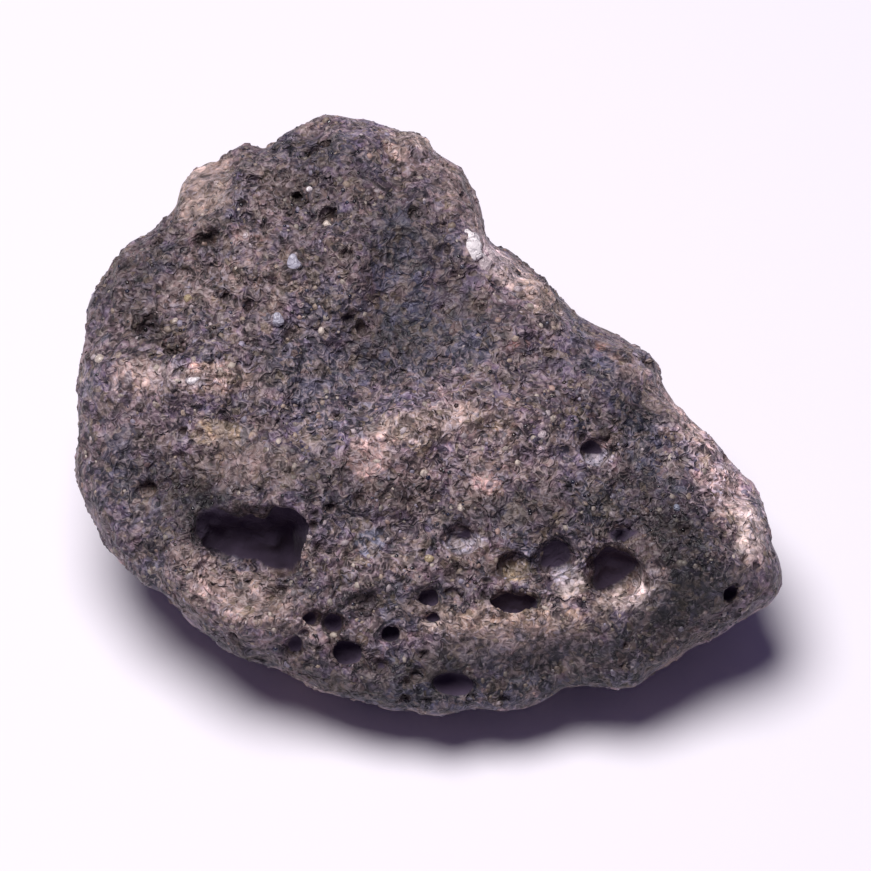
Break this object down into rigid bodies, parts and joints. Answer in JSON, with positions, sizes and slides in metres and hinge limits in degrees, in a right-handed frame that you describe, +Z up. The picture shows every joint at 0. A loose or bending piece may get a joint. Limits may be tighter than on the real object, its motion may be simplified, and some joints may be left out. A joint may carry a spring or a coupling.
{
  "type": "impact glass",
  "caption": "Loose lump of grey, bubbly impact melt glass: a broad, wedge-shaped stone with one large open hollow, clustered gas-bubble pits and a notch in its long edge.",
  "frame": {"origin": "middle of the stone's bounding box in X and Y, on the ground it rests on in Z", "axes": "+X along the stone's longest side, from its blunt end to its nose; +Y towards the high back edge, so the broad face slopes down towards -Y; +Z up, the way the stone rests"},
  "size_m": [0.0504, 0.044, 0.0259],
  "materials": {
    "stone": "dark grey to purplish melt glass, rough and crumbly with fine grains, with small glints and beige, pinkish and pale grey patches"
  },
  "bodies": {
    "root": {"stone": "stone"}
  },
  "joints": []
}
